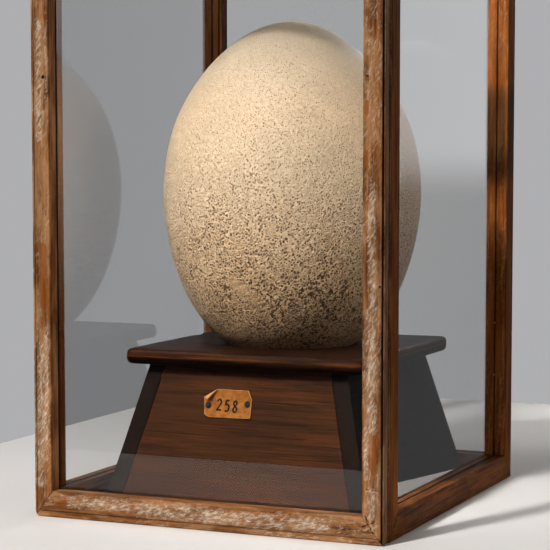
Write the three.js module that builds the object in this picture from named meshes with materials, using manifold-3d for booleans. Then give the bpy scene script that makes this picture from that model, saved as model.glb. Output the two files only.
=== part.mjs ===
// Elephant bird egg on a wooden stand, inside a small glazed table case.
// Millimetres, +Z up. The origin is the middle of the case's underside and the front faces -Y.
import * as THREE from 'three';
import { mergeVertices } from 'three/addons/utils/BufferGeometryUtils.js';
import Module from 'manifold-3d';

// Case: a front frame laid over two side frames, a back between them, a floor and a glass top
const caseWidth = 325;
const caseDepth = 360;
const caseHeight = 556;
const floorThickness = 8;
const railHeight = 23.2;
const seam = 0.3;
const beyond = 1;

// Front frame: narrow sunk lines set off a bead along its outer edges
const frontThickness = 14.5;
const frontStileLeft = 17.4;
const frontStileRight = 19.3;
const leftLine = { from: 2.3, width: 0.6, depth: 0.8 };
const rightLine = { from: 0.7, width: 1.9, depth: 1.8 };
const railLine = { from: 5.2, width: 0.7, depth: 0.8 };

// Side frames: grooved for the glass, except the front stile, which the pane passes behind
const sideThickness = 19.5;
const sideFrontStile = 20;
const sideBackStile = 22;
const grooveStart = 10.5;
const grooveWidth = 2.6;
const grooveDepth = 7;

// Back: two grooved rails between the side frames, and a narrow fillet up each side of the glass
const backThickness = 19.5;
const filletWidth = 3;

// Glass
const paneThickness = 2;
const paneHold = 5;
const topPaneThickness = 3;
const topPaneDrop = 1;

// Stand: a slab with a round seat on four sloping boards
const standX = 3.6;
const standY = 1.4;
const slabTop = 143;
const slabThickness = 13.7;
const slabWidth = 230.6;
const slabDepth = 223.7;
const slabCorner = 9;
const slabEdgeRadius = 6;
const plinthTopHalf = { x: 95, y: 98 };
const plinthBottomHalf = { x: 126, y: 128 };
const boardThickness = 15.5;

// Egg: its lower end dips through the seat. The shape terms draw out the upper end.
const eggX = 4.4;
const eggPole = 125;
const eggLength = 311.1;
const eggRadius = 117.1;
const eggShape = [0.007, 0.003, -0.134];
const eggRings = 36;
const eggSides = 56;
const seatClearance = 0.6;

// Paper tag, drawn as seen from the front, and its two tacks
const tagOutline = [
  [-28.2, 85.5], [12.2, 86.1], [12.1, 102.3], [8, 109.8],
  [-21.3, 110], [-34, 102.5], [-32.5, 93.2], [-32.4, 88.2],
];
const tagThickness = 0.5;
const tackRadius = 3;
const tackHeight = 1.3;
const tacks = { left: [-29.1, 95.8], right: [8.4, 98.2] };

const wasm = await Module();
wasm.setup();

// Turns a closed geometry into a solid that can be joined and cut
function solid(geometry) {
  const bare = geometry.clone();
  bare.deleteAttribute('normal');
  bare.deleteAttribute('uv');
  const merged = mergeVertices(bare, 1e-4);
  const vertProperties = new Float32Array(merged.attributes.position.array);
  const triVerts = new Uint32Array(merged.index.array);
  return new wasm.Manifold(new wasm.Mesh({ numProp: 3, vertProperties, triVerts }));
}

// Turns a solid back into a geometry
function geometryOf(shape) {
  const mesh = shape.getMesh();
  const geometry = new THREE.BufferGeometry();
  geometry.setAttribute('position', new THREE.BufferAttribute(new Float32Array(mesh.vertProperties), 3));
  geometry.setIndex(new THREE.BufferAttribute(new Uint32Array(mesh.triVerts), 1));
  return geometry;
}

function cut(geometry, cutters) {
  return geometryOf(cutters.reduce((left, cutter) => left.subtract(solid(cutter)), solid(geometry)));
}

function join(first, second) {
  return geometryOf(solid(first).add(solid(second)));
}

// A box between two opposite corners
function boxBetween(low, high) {
  const size = high.map((value, i) => value - low[i]);
  const box = new THREE.BoxGeometry(...size);
  box.translate(...low.map((value, i) => value + size[i] / 2));
  return box;
}

// A plate drawn in X and Z, which lies between Y = start and Y = end
function plate(points, start, end) {
  const shape = new THREE.Shape(points.map(([x, z]) => new THREE.Vector2(x, z)));
  const geometry = new THREE.ExtrudeGeometry(shape, { depth: end - start, bevelEnabled: false });
  geometry.rotateX(Math.PI / 2);
  geometry.translate(0, end, 0);
  return geometry;
}

function rectangle(left, right, bottom, top) {
  return [[left, bottom], [right, bottom], [right, top], [left, top]];
}

function makeMesh(name, geometry, color, roughness, metalness = 0) {
  const mesh = new THREE.Mesh(geometry, new THREE.MeshStandardMaterial({ color, roughness, metalness }));
  mesh.name = name;
  return mesh;
}

const caseWood = (name, geometry) => makeMesh(name, geometry, 0x9a6238, 0.5);
const standWood = (name, geometry) => makeMesh(name, geometry, 0x3d2014, 0.4);

function glassPane(name, geometry) {
  const mesh = makeMesh(name, geometry, 0xe6eeec, 0.03);
  mesh.material.transparent = true;
  mesh.material.opacity = 0.2;
  return mesh;
}

// Outlines of a mitred frame as seen from outside: X to the right, Z up
function railOutline(width, left, right) {
  return [[seam, 0], [width - seam, 0], [width - right - seam, railHeight], [left + seam, railHeight]];
}

function stileOutline(stileWidth) {
  return [
    [0, seam], [stileWidth, railHeight + seam],
    [stileWidth, caseHeight - railHeight - seam], [0, caseHeight - seam],
  ];
}

const turnedOver = (points) => points.map(([x, z]) => [x, caseHeight - z]).reverse();
const mirroredIn = (width, points) => points.map(([x, z]) => [width - x, z]).reverse();

// A box that sinks a line into a stile or a rail's front
function sunkUpright({ from, width, depth }, edge, inwards) {
  const sides = [edge + inwards * from, edge + inwards * (from + width)].sort((a, b) => a - b);
  return boxBetween([sides[0], -beyond, -beyond], [sides[1], depth, caseHeight + beyond]);
}

function sunkLevel({ from, width, depth }) {
  return boxBetween([-beyond, -beyond, from], [caseWidth + beyond, depth, from + width]);
}

// A ledge along the top rails' inner edge, which the top pane lies in
function topLedge(left, right, thickness) {
  const level = caseHeight - topPaneDrop - topPaneThickness - seam;
  return boxBetween([left, thickness - paneHold, level], [right, thickness + beyond, caseHeight + beyond]);
}

// Front frame, with a rebate behind it for the pane
function frontFrame() {
  const width = caseWidth;
  const left = frontStileLeft;
  const right = frontStileRight;
  const rebateFront = frontThickness - paneThickness - 2 * seam;
  const low = railHeight - paneHold - seam;
  const rebate = boxBetween([left - paneHold - seam, rebateFront, low],
    [width - right + paneHold + seam, frontThickness + beyond, caseHeight - low]);
  const rail = railOutline(width, left, right);
  const bottomLine = sunkLevel(railLine);
  const topLine = sunkLevel({ ...railLine, from: caseHeight - railLine.from - railLine.width });
  const ledge = topLedge(sideThickness - paneHold, width - sideThickness + paneHold, frontThickness);
  const thick = (points) => plate(points, 0, frontThickness);
  const rightStile = mirroredIn(width, stileOutline(right));
  const group = new THREE.Group();
  group.position.set(-width / 2, -caseDepth / 2, 0);
  group.add(
    caseWood('front_stile_left', cut(thick(stileOutline(left)), [sunkUpright(leftLine, 0, 1), rebate])),
    caseWood('front_stile_right', cut(thick(rightStile), [sunkUpright(rightLine, width, -1), rebate])),
    caseWood('front_rail_bottom', cut(thick(rail), [bottomLine, rebate])),
    caseWood('front_rail_top', cut(thick(turnedOver(rail)), [topLine, rebate, ledge])),
  );
  const inset = paneHold;
  const pane = rectangle(left - inset, width - right + inset, railHeight - inset, caseHeight - railHeight + inset);
  const paneFront = frontThickness - paneThickness - seam;
  group.add(glassPane('glass_front', plate(pane, paneFront, paneFront + paneThickness)));
  return group;
}

// Side frame as seen from outside, with its front stile on the left and that stile's end at X = 0.
// Its rails are mitred to the front stile outside the glass and run on square inside it.
function sideMembers() {
  const width = caseDepth - frontThickness - seam;
  const low = railHeight - grooveDepth;
  const groove = boxBetween([-beyond, grooveStart, low], [width - sideBackStile + grooveDepth,
    grooveStart + grooveWidth, caseHeight - low]);
  const outer = railOutline(width, sideFrontStile, sideBackStile);
  const inner = outer.map(([x, z]) => [x < width / 2 ? 0 : x, z]);
  const rail = (flip, cutters) => cut(
    join(plate(flip(outer), 0, grooveStart), plate(flip(inner), grooveStart, sideThickness)), cutters);
  const same = (points) => points;
  const backStile = plate(mirroredIn(width, stileOutline(sideBackStile)), 0, sideThickness);
  const ledge = topLedge(-beyond, width - backThickness + paneHold, sideThickness);
  const reach = grooveDepth - paneHold + seam;
  const pane = rectangle(0, width - sideBackStile + grooveDepth - reach, low + reach, caseHeight - low - reach);
  const paneStart = grooveStart + seam;
  return {
    stile_front: plate(stileOutline(sideFrontStile), 0, grooveStart),
    stile_back: cut(backStile, [groove]),
    rail_bottom: rail(same, [groove]),
    rail_top: rail(turnedOver, [groove, ledge]),
    pane: plate(pane, paneStart, paneStart + paneThickness),
  };
}

// Mirrors a geometry in X and keeps its faces pointing outwards
function mirrorGeometry(geometry) {
  const mirrored = mergeVertices(geometry.clone().deleteAttribute('normal').deleteAttribute('uv'), 1e-4);
  mirrored.scale(-1, 1, 1);
  const index = mirrored.index.array;
  for (let i = 0; i < index.length; i += 3) {
    [index[i], index[i + 1]] = [index[i + 1], index[i]];
  }
  return mirrored;
}

function sideFrame(side) {
  const isLeft = side === 'left';
  const group = new THREE.Group();
  group.rotation.z = isLeft ? -Math.PI / 2 : Math.PI / 2;
  group.position.set((isLeft ? -1 : 1) * caseWidth / 2, frontThickness + seam - caseDepth / 2, 0);
  for (const [name, geometry] of Object.entries(sideMembers())) {
    const shape = isLeft ? mirrorGeometry(geometry) : geometry;
    group.add(name === 'pane' ? glassPane(`glass_${side}`, shape) : caseWood(`${side}_${name}`, shape));
  }
  return group;
}

// Back rails, fillets and pane, as seen from behind
function backPanel() {
  const width = caseWidth - 2 * sideThickness - 2 * seam;
  const low = railHeight - grooveDepth;
  const groove = boxBetween([-beyond, grooveStart, low], [width + beyond, grooveStart + grooveWidth, caseHeight - low]);
  const rail = rectangle(0, width, 0, railHeight);
  const thick = (points) => plate(points, 0, backThickness);
  const filletFront = grooveStart + grooveWidth;
  const fillet = rectangle(0, filletWidth, railHeight + seam, caseHeight - railHeight - seam);
  const ledge = topLedge(-beyond, width + beyond, backThickness);
  const reach = grooveDepth - paneHold;
  const pane = rectangle(0, width, low + reach, caseHeight - low - reach);
  const group = new THREE.Group();
  group.rotation.z = Math.PI;
  group.position.set(width / 2, caseDepth / 2, 0);
  group.add(
    caseWood('back_rail_bottom', cut(thick(rail), [groove])),
    caseWood('back_rail_top', cut(thick(turnedOver(rail)), [groove, ledge])),
    caseWood('back_fillet_right', plate(fillet, filletFront, backThickness)),
    caseWood('back_fillet_left', plate(mirroredIn(width, fillet), filletFront, backThickness)),
    glassPane('glass_back', plate(pane, grooveStart + seam, grooveStart + seam + paneThickness)),
  );
  return group;
}

function caseFloor() {
  const halfX = caseWidth / 2 - sideThickness - seam;
  const front = frontThickness + seam - caseDepth / 2;
  const back = caseDepth / 2 - backThickness - seam;
  return makeMesh('case_floor', boxBetween([-halfX, front, 0], [halfX, back, floorThickness]), 0x4a2c1c, 0.6);
}

function topPane() {
  const hold = paneHold - seam;
  const halfX = caseWidth / 2 - sideThickness + hold;
  const front = frontThickness - hold - caseDepth / 2;
  const back = caseDepth / 2 - backThickness + hold;
  const top = caseHeight - topPaneDrop;
  return glassPane('glass_top', boxBetween([-halfX, front, top - topPaneThickness], [halfX, back, top]));
}

// Radius of the egg at a share of its length, 0 at the lower pole and 1 at the upper
function eggRadiusAt(share) {
  const c = 2 * share - 1;
  const [first, second, third] = eggShape;
  return eggRadius * Math.sqrt(1 - c * c) * (1 + first * c + second * c ** 2 + third * c ** 3);
}

function egg() {
  const profile = [new THREE.Vector2(0, 0)];
  for (let i = 1; i < eggRings; i += 1) {
    const share = (1 - Math.cos((Math.PI * i) / eggRings)) / 2;
    profile.push(new THREE.Vector2(eggRadiusAt(share), share * eggLength));
  }
  profile.push(new THREE.Vector2(0, eggLength));
  const geometry = new THREE.LatheGeometry(profile, eggSides);
  geometry.rotateX(Math.PI / 2);
  const mesh = makeMesh('egg', geometry, 0xe0c9a0, 0.55);
  mesh.position.set(eggX, standY, eggPole);
  return mesh;
}

// Slab with rounded corners, a rounded edge and the round seat that the egg rests in
function slab() {
  const halfX = slabWidth / 2 - slabEdgeRadius;
  const halfY = slabDepth / 2 - slabEdgeRadius;
  const corner = slabCorner - slabEdgeRadius;
  const shape = new THREE.Shape();
  const arcs = [[1, -1], [1, 1], [-1, 1], [-1, -1]];
  for (const [i, [x, y]] of arcs.entries()) {
    const start = (Math.PI / 2) * (i - 1);
    shape.absarc(x * (halfX - corner), y * (halfY - corner), corner, start, start + Math.PI / 2);
  }
  const options = {
    depth: slabThickness - 2 * slabEdgeRadius,
    bevelSize: slabEdgeRadius,
    bevelThickness: slabEdgeRadius,
    bevelSegments: 4,
    curveSegments: 4,
  };
  const body = new THREE.ExtrudeGeometry(shape, options);
  body.translate(0, 0, slabEdgeRadius);
  const seatRadius = eggRadiusAt((slabTop - eggPole) / eggLength) + seatClearance;
  const seat = new THREE.CylinderGeometry(seatRadius, seatRadius, 4 * slabThickness, eggSides);
  seat.rotateX(Math.PI / 2);
  seat.translate(eggX - standX, 0, 0);
  const mesh = standWood('stand_slab', cut(body, [seat]));
  mesh.position.set(standX, standY, slabTop - slabThickness);
  return mesh;
}

// A solid between a lower and an upper outline, both drawn in X and Y
function taperedSolid(lower, upper, bottom, top) {
  const count = lower.length;
  const corners = [...lower.map(([x, y]) => [x, y, bottom]), ...upper.map(([x, y]) => [x, y, top])];
  const index = [];
  for (let i = 0; i < count; i += 1) {
    const next = (i + 1) % count;
    index.push(i, next, count + next, i, count + next, count + i);
  }
  for (let i = 1; i < count - 1; i += 1) {
    index.push(0, i + 1, i, count, count + i, count + i + 1);
  }
  const geometry = new THREE.BufferGeometry();
  geometry.setAttribute('position', new THREE.Float32BufferAttribute(corners.flat(), 3));
  geometry.setIndex(index);
  return geometry;
}

// Four sloping boards: the side boards run the full depth and the others stand between them
function plinth() {
  const inner = boardThickness + seam;
  const boards = {
    stand_board_left: (half) => rectangle(-half.x, boardThickness - half.x, -half.y, half.y),
    stand_board_right: (half) => rectangle(half.x - boardThickness, half.x, -half.y, half.y),
    stand_board_front: (half) => rectangle(inner - half.x, half.x - inner, -half.y, boardThickness - half.y),
    stand_board_back: (half) => rectangle(inner - half.x, half.x - inner, half.y - boardThickness, half.y),
  };
  const bottom = floorThickness + seam;
  const top = slabTop - slabThickness - seam;
  const group = new THREE.Group();
  for (const [name, outline] of Object.entries(boards)) {
    const geometry = taperedSolid(outline(plinthBottomHalf), outline(plinthTopHalf), bottom, top);
    group.add(standWood(name, geometry));
  }
  group.position.set(standX, standY, 0);
  return group;
}

// Paper tag on the slope of the front board, held by two tacks
function tag() {
  const top = slabTop - slabThickness;
  const slope = Math.atan2(plinthBottomHalf.y - plinthTopHalf.y, top - floorThickness);
  const upSlope = (z) => (z - top) / Math.cos(slope);
  const gap = 2 * seam;
  const group = new THREE.Group();
  group.position.set(0, standY - plinthTopHalf.y, top);
  group.rotation.x = -slope;
  const outline = tagOutline.map(([x, z]) => [x, upSlope(z)]);
  group.add(makeMesh('tag_paper', plate(outline, -gap - tagThickness, -gap), 0xc99257, 0.85));
  for (const [side, [x, z]] of Object.entries(tacks)) {
    const profile = [[0, 0], [1, 0], [0.85, 0.55], [0.5, 0.9], [0, 1]];
    const points = profile.map(([r, h]) => new THREE.Vector2(r * tackRadius, h * tackHeight));
    const head = new THREE.LatheGeometry(points, 20);
    head.rotateX(Math.PI);
    const tack = makeMesh(`tack_${side}`, head, 0x2a221d, 0.5, 0.8);
    tack.position.set(x, -gap - tagThickness - seam, upSlope(z));
    group.add(tack);
  }
  return group;
}

const object = new THREE.Group();
object.add(frontFrame(), sideFrame('left'), sideFrame('right'), backPanel(), caseFloor(), topPane());
object.add(slab(), plinth(), tag(), egg());

export default object;
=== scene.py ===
import math

import bmesh
import bpy
import numpy as np
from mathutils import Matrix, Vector, noise


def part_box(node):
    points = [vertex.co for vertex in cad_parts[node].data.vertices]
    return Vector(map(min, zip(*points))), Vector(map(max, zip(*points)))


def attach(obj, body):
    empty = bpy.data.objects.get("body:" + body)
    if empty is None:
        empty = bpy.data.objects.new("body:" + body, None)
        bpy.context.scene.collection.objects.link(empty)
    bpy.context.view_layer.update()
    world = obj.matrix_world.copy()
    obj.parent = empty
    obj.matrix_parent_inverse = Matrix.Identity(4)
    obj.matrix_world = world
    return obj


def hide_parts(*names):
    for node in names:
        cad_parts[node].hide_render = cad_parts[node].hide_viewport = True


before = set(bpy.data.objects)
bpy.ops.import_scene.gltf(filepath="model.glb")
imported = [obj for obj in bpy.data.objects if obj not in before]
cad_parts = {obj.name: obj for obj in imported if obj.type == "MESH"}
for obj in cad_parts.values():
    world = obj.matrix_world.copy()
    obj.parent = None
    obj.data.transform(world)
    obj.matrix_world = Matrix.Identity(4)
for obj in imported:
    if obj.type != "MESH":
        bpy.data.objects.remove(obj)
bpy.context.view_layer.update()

# All lengths below are in millimetres, except where a name says metres.
MM = 0.001

# Case
HALF_WIDTH = 162.5
HALF_DEPTH = 180.0
HEIGHT = 556.0
RAIL = 23.2
SEAM = 0.3
FRONT_THICK = 14.5
FRONT_LEFT = 17.4
FRONT_RIGHT = 19.3
SIDE_THICK = 19.5
SIDE_FRONT = 20.0
SIDE_BACK = 22.0
GROOVE = (10.5, 13.1)
GROOVE_DEPTH = 7.0
SIDE_START = -HALF_DEPTH + FRONT_THICK + SEAM
SIDE_LENGTH = HALF_DEPTH - SIDE_START
BACK_HALF = HALF_WIDTH - SIDE_THICK - SEAM
FILLET = 3.0
FLOOR_TOP = 8.0
REBATE_FROM = 11.6
REBATE_WIDTH = 5.3
LEDGE_DROP = 4.3
LEDGE_WIDTH = 5.0
LEFT_ROUNDING = 6.0
RIGHT_ROUNDING = 3.5
PANE_HELD = 5.0
PANE_EDGE_SHOWN = 0.5

# Stand
STAND = (3.6, 1.4)
SLAB_TOP = 143.0
SLAB_THICK = 13.7
SLAB_HALF = (115.3, 111.85)
SLAB_CORNER = 9.0
PLINTH_TOP_HALF = (95.0, 98.0)
PLINTH_BOTTOM_HALF = (126.0, 128.0)
BOARD_THICK = 15.5

# Egg
EGG_AXIS = (4.4, 1.4)
EGG_POLE = 125.0
EGG_LENGTH = 311.1
EGG_RADIUS = 117.1
EGG_SHAPE = (0.007, 0.003, -0.134)
SEAT_CLEARANCE = 0.6

# The photograph's camera: metres and degrees, with the lens as a share of the picture's side
CAMERA_PLACE = (0.691, -1.612, 0.325)
CAMERA_YAW = 23.55
CAMERA_DOWN = 4.67
CAMERA_LENS = 1909 / 550
CAMERA_SHIFT = 25 / 550

# Key light in metres, degrees and watts
KEY_AZIMUTH = 16.4
KEY_ELEVATION = 39.0
KEY_DISTANCE = 2.6
KEY_POWER = 67.5

# Backdrop seen by the eye, and the light that comes from before and behind the case
BACKDROP = 0.425
FRONT_FILL = 0.012
BACK_FILL = 0.15
BACK_MIRRORED = 0.68
LEFT_DIMMED = 0.40

# How strongly the panes bend light. The front, back and top ones mirror the floor less than real glass would.
FRONT_BENDING = 1.34
SIDE_BENDING = 1.52


def with_alpha(color):
    """A colour as a socket takes it: a node's output as it is, or three numbers with a fourth."""
    return color if isinstance(color, bpy.types.NodeSocket) else (*color, 1.0)


def grain_scale(along):
    """Makes noise scales from a number of cells across the grain and a number along it."""
    return lambda across, length: tuple(length if i == along else across for i in range(3))


class Nodes:
    """A node tree being put together. A value is a number, a colour or another node's output."""

    def __init__(self, tree):
        self.tree = tree

    def node(self, kind, **settings):
        made = self.tree.nodes.new(kind)
        for key, value in settings.items():
            setattr(made, key, value)
        return made

    def put(self, socket, value):
        if isinstance(value, bpy.types.NodeSocket):
            self.tree.links.new(value, socket)
        else:
            socket.default_value = value

    def math(self, operation, first, second):
        made = self.node("ShaderNodeMath", operation=operation)
        self.put(made.inputs[0], first)
        self.put(made.inputs[1], second)
        return made.outputs[0]

    def times(self, first, second):
        return self.math("MULTIPLY", first, second)

    def plus(self, first, second):
        return self.math("ADD", first, second)

    def minus(self, first, second):
        return self.math("SUBTRACT", first, second)

    def between(self, factor, first, second):
        """A number between two others."""
        made = self.node("ShaderNodeMix")
        self.put(made.inputs["Factor"], factor)
        self.put(made.inputs[2], first)
        self.put(made.inputs[3], second)
        return made.outputs[0]

    def vector(self, operation, first, second, output="Vector"):
        made = self.node("ShaderNodeVectorMath", operation=operation)
        self.put(made.inputs[0], first)
        if operation == "SCALE":
            self.put(made.inputs["Scale"], second)
        else:
            self.put(made.inputs[1], second)
        return made.outputs[output]

    def ramp(self, value, low, high, out_low=0.0, out_high=1.0):
        """Maps low..high to out_low..out_high, smoothly, and holds the ends."""
        made = self.node("ShaderNodeMapRange", interpolation_type="SMOOTHSTEP")
        self.put(made.inputs["Value"], value)
        self.put(made.inputs["From Min"], low)
        self.put(made.inputs["From Max"], high)
        self.put(made.inputs["To Min"], out_low)
        self.put(made.inputs["To Max"], out_high)
        return made.outputs["Result"]

    def split(self, vector):
        made = self.node("ShaderNodeSeparateXYZ")
        self.put(made.inputs[0], vector)
        return made.outputs


class Material(Nodes):
    """A material whose patterns are laid out by the place on the object."""

    def __init__(self, name):
        self.material = bpy.data.materials.new(name)
        self.material.use_nodes = True
        super().__init__(self.material.node_tree)
        self.shader = self.tree.nodes["Principled BSDF"]
        self.place = self.node("ShaderNodeTexCoord").outputs["Object"]

    def scaled(self, scale, place):
        """A place, or the place on the object, scaled by one number or by one for each axis."""
        scales = scale if isinstance(scale, tuple) else (scale, scale, scale)
        return self.vector("MULTIPLY", self.place if place is None else place, scales)

    def noise(self, scale, detail=2.0, rough=0.5, distortion=0.0, place=None, color=False):
        """Noise with so many cells per metre along X, Y and Z."""
        made = self.node("ShaderNodeTexNoise")
        self.put(made.inputs["Vector"], self.scaled(scale, place))
        made.inputs["Scale"].default_value = 1.0
        made.inputs["Detail"].default_value = detail
        made.inputs["Roughness"].default_value = rough
        made.inputs["Distortion"].default_value = distortion
        return made.outputs["Color" if color else "Fac"]

    def cells(self, scale, place=None):
        """Distance to the middle of the nearest cell, and a random number for each cell."""
        made = self.node("ShaderNodeTexVoronoi")
        self.put(made.inputs["Vector"], self.scaled(scale, place))
        made.inputs["Scale"].default_value = 1.0
        return made.outputs["Distance"], self.split(made.outputs["Color"])[0]

    def mix(self, factor, first, second, blend="MIX"):
        made = self.node("ShaderNodeMix", data_type="RGBA", blend_type=blend)
        self.put(made.inputs[0], factor)
        self.put(made.inputs[6], with_alpha(first))
        self.put(made.inputs[7], with_alpha(second))
        return made.outputs[2]

    def tinted(self, color, tint):
        return self.mix(1.0, color, tint, "MULTIPLY")

    def specular(self, level):
        self.shader.inputs["Specular IOR Level"].default_value = level

    def turned(self, axis):
        """The place in a frame whose X runs along axis, so that a pattern can be drawn out that way."""
        made = self.node("ShaderNodeMapping", vector_type="TEXTURE")
        self.put(made.inputs["Vector"], self.place)
        made.inputs["Rotation"].default_value = Vector(axis).to_track_quat("X", "Z").to_euler()
        return made.outputs["Vector"]

    def near(self, point, radius, soft=0.5):
        """1 within radius of a point, in millimetres, and 0 outside."""
        centre = tuple(value * MM for value in point)
        distance = self.vector("DISTANCE", self.place, centre, "Value")
        return self.ramp(distance, radius * MM, radius * (1 - soft) * MM)

    def near_line(self, start, end, radius, soft=0.6, fray=0.0):
        """1 along a line between two points, in millimetres. fray is how far its edge wanders."""
        first = Vector(start) * MM
        along = Vector(end) * MM - first
        place = self.place
        if fray:
            sway = self.vector("SUBTRACT", self.noise(350.0, 3.0, 0.6, color=True), (0.5, 0.5, 0.5))
            place = self.vector("ADD", place, self.vector("SCALE", sway, 4 * fray * MM))
        offset = self.vector("SUBTRACT", place, tuple(first))
        share = self.vector("DOT_PRODUCT", offset, tuple(along / along.length_squared), "Value")
        clamped = self.math("MINIMUM", self.math("MAXIMUM", share, 0.0), 1.0)
        foot = self.vector("SCALE", tuple(along), clamped)
        distance = self.vector("DISTANCE", offset, foot, "Value")
        return self.ramp(distance, radius * MM, radius * (1 - soft) * MM)

    def any_of(self, values):
        total = values[0]
        for value in values[1:]:
            total = self.math("MAXIMUM", total, value)
        return total

    def attribute(self, name):
        return self.node("ShaderNodeAttribute", attribute_name=name).outputs["Fac"]

    def facing(self, direction):
        """How far a surface faces a direction, from -1 to 1."""
        normal = self.node("ShaderNodeNewGeometry").outputs["Normal"]
        return self.vector("DOT_PRODUCT", normal, tuple(direction), "Value")

    def finish(self, color, roughness, height=None, depth=0.0):
        """Sets colour and roughness, and a bump whose height of 1 stands depth millimetres proud."""
        self.put(self.shader.inputs["Base Color"], with_alpha(color))
        self.put(self.shader.inputs["Roughness"], roughness)
        if height is not None:
            bump = self.node("ShaderNodeBump")
            bump.inputs["Strength"].default_value = 1.0
            bump.inputs["Distance"].default_value = depth * MM
            self.put(bump.inputs["Height"], height)
            self.put(self.shader.inputs["Normal"], bump.outputs["Normal"])
        return self.material


def add_piece(name, mesh, nodes):
    """Adds a mesh as a piece that stands for some CAD nodes, or for none."""
    piece = bpy.data.objects.new(name, mesh)
    bpy.context.scene.collection.objects.link(piece)
    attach(piece, "root")
    if nodes:
        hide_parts(*nodes)
    return piece


def add_eased(work, easing, name, material, node):
    """Adds a bmesh solid as a piece, with its arrises eased by so many millimetres."""
    bmesh.ops.bevel(work, geom=work.edges[:], offset=easing * MM, segments=2, affect="EDGES", profile=0.5)
    mesh = bpy.data.meshes.new(name)
    work.to_mesh(mesh)
    work.free()
    mesh.materials.append(material)
    return add_piece(name, mesh, [node])


def band(first, second, count):
    """Faces between two closed rings of count points, each given by the number of its first point."""
    return [(first + k, first + (k + 1) % count, second + (k + 1) % count, second + k) for k in range(count)]


def make_piece(name, points, faces, materials, nodes, marks=None, face_slots=None, smooth=False):
    """Makes a piece from points in millimetres. marks are values for each point that its material reads."""
    mesh = bpy.data.meshes.new(name)
    mesh.from_pydata([tuple(value * MM for value in point) for point in points], [], faces)
    for key, values in (marks or {}).items():
        mesh.attributes.new(key, "FLOAT", "POINT").data.foreach_set("value", np.array(values, np.float32))
    for material in materials if isinstance(materials, list) else [materials]:
        mesh.materials.append(material)
    if face_slots is not None:
        mesh.polygons.foreach_set("material_index", face_slots)
    mesh.polygons.foreach_set("use_smooth", [smooth] * len(mesh.polygons))
    work = bmesh.new()
    work.from_mesh(mesh)
    bmesh.ops.recalc_face_normals(work, faces=work.faces)
    work.to_mesh(mesh)
    work.free()
    return add_piece(name, mesh, nodes)


# Materials

WORN_WHITE = (0.80, 0.68, 0.55)
BLEACHED = (0.50, 0.345, 0.225)
TAN = (0.50, 0.265, 0.120)
ORANGE = (0.36, 0.128, 0.032)
BROWN = (0.085, 0.030, 0.009)
NEAR_BLACK = (0.009, 0.005, 0.004)
VARNISH = (0.28, 0.080, 0.014)
# Bluish tint of the painted shadow on the back posts
SHADOW_TINT = (0.27, 0.33, 0.42)


def case_wood(name, along, worn, marks=(), chips=(), bleached=(), varnished=(), shadowed=(), shade=(1, 1, 1)):
    """Old varnished wood with its grain along X, Y or Z (0, 1 or 2). worn is how far its front is scuffed
    pale, and shade a tint of painted shade that darkens the member. The rest are lists of places: dark
    marks, pale chips and zones, among them zones of painted shadow."""
    m = Material(name)
    stretch = grain_scale(along)
    grain = m.noise(stretch(420.0, 14.0), 5.0, 0.6, 0.4)
    pores = m.noise(stretch(1500.0, 60.0), 2.0, 0.6)
    patches = m.noise(stretch(90.0, 22.0), 4.0, 0.6, 0.3)
    slow = m.noise(stretch(40.0, 11.0), 2.0, 0.5)
    color = m.mix(m.ramp(grain, 0.32, 0.66), BROWN, ORANGE)
    color = m.mix(m.times(m.ramp(patches, 0.42, 0.64), 0.12 + 0.46 * worn), color, TAN)
    hatch_place = m.turned((0.5, 0.0, 0.85) if along == 2 else (0.9, 0.2, 0.35))
    hatch = m.noise((140.0, 500.0, 500.0), 3.0, 0.65, place=hatch_place)
    smears = m.noise(stretch(480.0, 110.0), 4.0, 0.65, 0.4)
    speckle = m.noise(stretch(900.0, 500.0), 3.0, 0.7)
    strokes = m.math("MAXIMUM", m.ramp(hatch, 0.52, 0.66), m.ramp(smears, 0.52, 0.66, 0.0, 0.85))
    strokes = m.times(strokes, m.ramp(speckle, 0.32, 0.52))
    front = m.ramp(m.facing((0, -1, 0)), 0.55, 0.9)
    zones = m.ramp(slow, 0.38, 0.60, 0.20, 0.95)
    if bleached:
        rubbed = m.any_of([zone(m) for zone in bleached])
        zones = m.math("MAXIMUM", m.times(zones, 0.48), m.times(rubbed, 0.9))
        haze = m.times(m.times(rubbed, front), m.ramp(hatch, 0.40, 0.58, 0.15, 0.85))
        color = m.mix(haze, color, BLEACHED)
    if varnished:
        kept = m.any_of([zone(m) for zone in varnished])
        zones = m.times(zones, m.ramp(kept, 0.0, 0.6, 1.0, 0.05))
        color = m.mix(m.times(kept, m.ramp(grain, 0.3, 0.6, 0.45, 0.85)), color, VARNISH)
    scuffs = m.times(strokes, m.times(zones, m.times(front, worn)))
    color = m.mix(scuffs, color, WORN_WHITE)
    color = m.mix(m.times(m.ramp(pores, 0.58, 0.7), 0.6), color, BROWN)
    arris = m.attribute("arris")
    color = m.mix(m.times(arris, m.ramp(patches, 0.62, 0.36, 0.15, 0.85)), color, BROWN)
    # The sunk mark is painted shade in the grooves and sunk lines; joints and marks are dark in themselves
    holes = m.any_of([m.attribute("joint"), m.attribute("sunk"), *[mark(m) for mark in marks]])
    if chips:
        color = m.mix(m.times(m.any_of([chip(m) for chip in chips]), 0.8), color, BLEACHED)
    color = m.mix(holes, color, NEAR_BLACK)
    # Painted shade: the shade tint darkens the side and back members, which stand turned from the light
    color = m.tinted(color, shade)
    # Painted shadow: the shadowed zones are tinted dark and bluish
    if shadowed:
        color = m.mix(m.any_of([zone(m) for zone in shadowed]), color, m.tinted(color, SHADOW_TINT))
    m.specular(0.04 * worn)
    roughness = m.ramp(m.plus(patches, scuffs), 0.3, 0.9, 0.42, 0.65)
    relief = m.plus(m.times(grain, 0.5), m.times(hatch, 1.2 * worn))
    return m.finish(color, roughness, m.minus(relief, m.times(holes, 2.0)), 0.28)


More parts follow.
